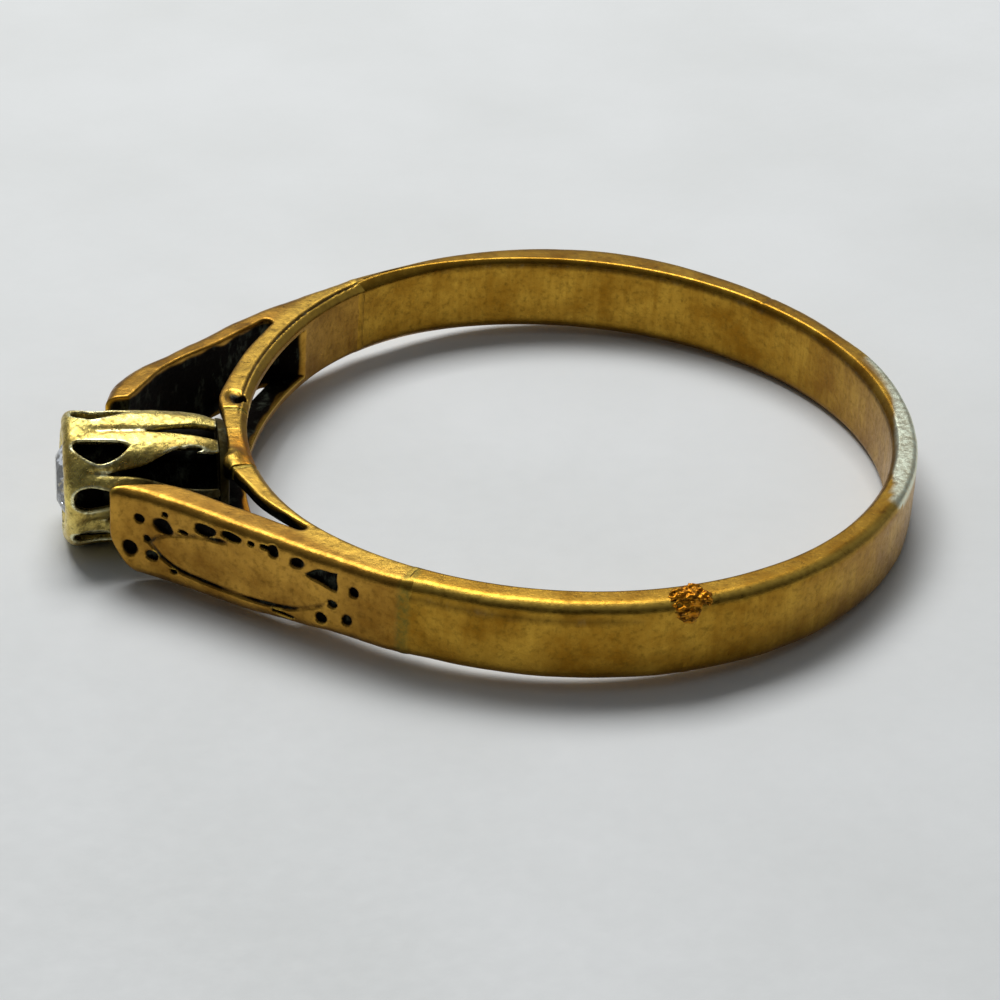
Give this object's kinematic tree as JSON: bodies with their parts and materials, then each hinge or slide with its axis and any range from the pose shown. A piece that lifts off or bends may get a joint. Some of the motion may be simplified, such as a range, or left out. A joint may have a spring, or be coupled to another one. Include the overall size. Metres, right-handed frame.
{
  "type": "engagement ring",
  "caption": "Solitaire ring: plain flat gold band, pierced engraved shoulders, and a tall petalled crown that holds one small round stone.",
  "frame": {"origin": "centre of the finger hole, half way up the band", "axes": "+Z along the finger axis, +X away from the head (the head points along -X), +Y towards the far shoulder"},
  "size_m": [0.022, 0.0185, 0.0034],
  "materials": {
    "shank_gold": "worn polish with tarnish",
    "shoulder_gold": "worn satin, engraved, dirt in the recesses",
    "head_gold": "pale gold, cast and brushed",
    "gold_solder": "dull, tarnished",
    "diamond": "polished facets"
  },
  "bodies": {
    "root": {"shank_long_section": "shank_gold", "shank_short_section": "shank_gold", "sizing_solder_seam": "gold_solder", "shoulder_solder_far": "gold_solder", "shoulder_solder_near": "gold_solder", "shoulder_far": "shoulder_gold", "shoulder_near": "shoulder_gold", "saddle_upper": "shoulder_gold", "saddle_solder_upper_far": "gold_solder", "saddle_solder_upper_near": "gold_solder", "saddle_lower": "shoulder_gold", "saddle_solder_lower_far": "gold_solder", "saddle_solder_lower_near": "gold_solder", "head_crown": "head_gold", "head_foot_ring": "head_gold", "stone_cup": "head_gold", "diamond": "diamond"}
  },
  "joints": []
}
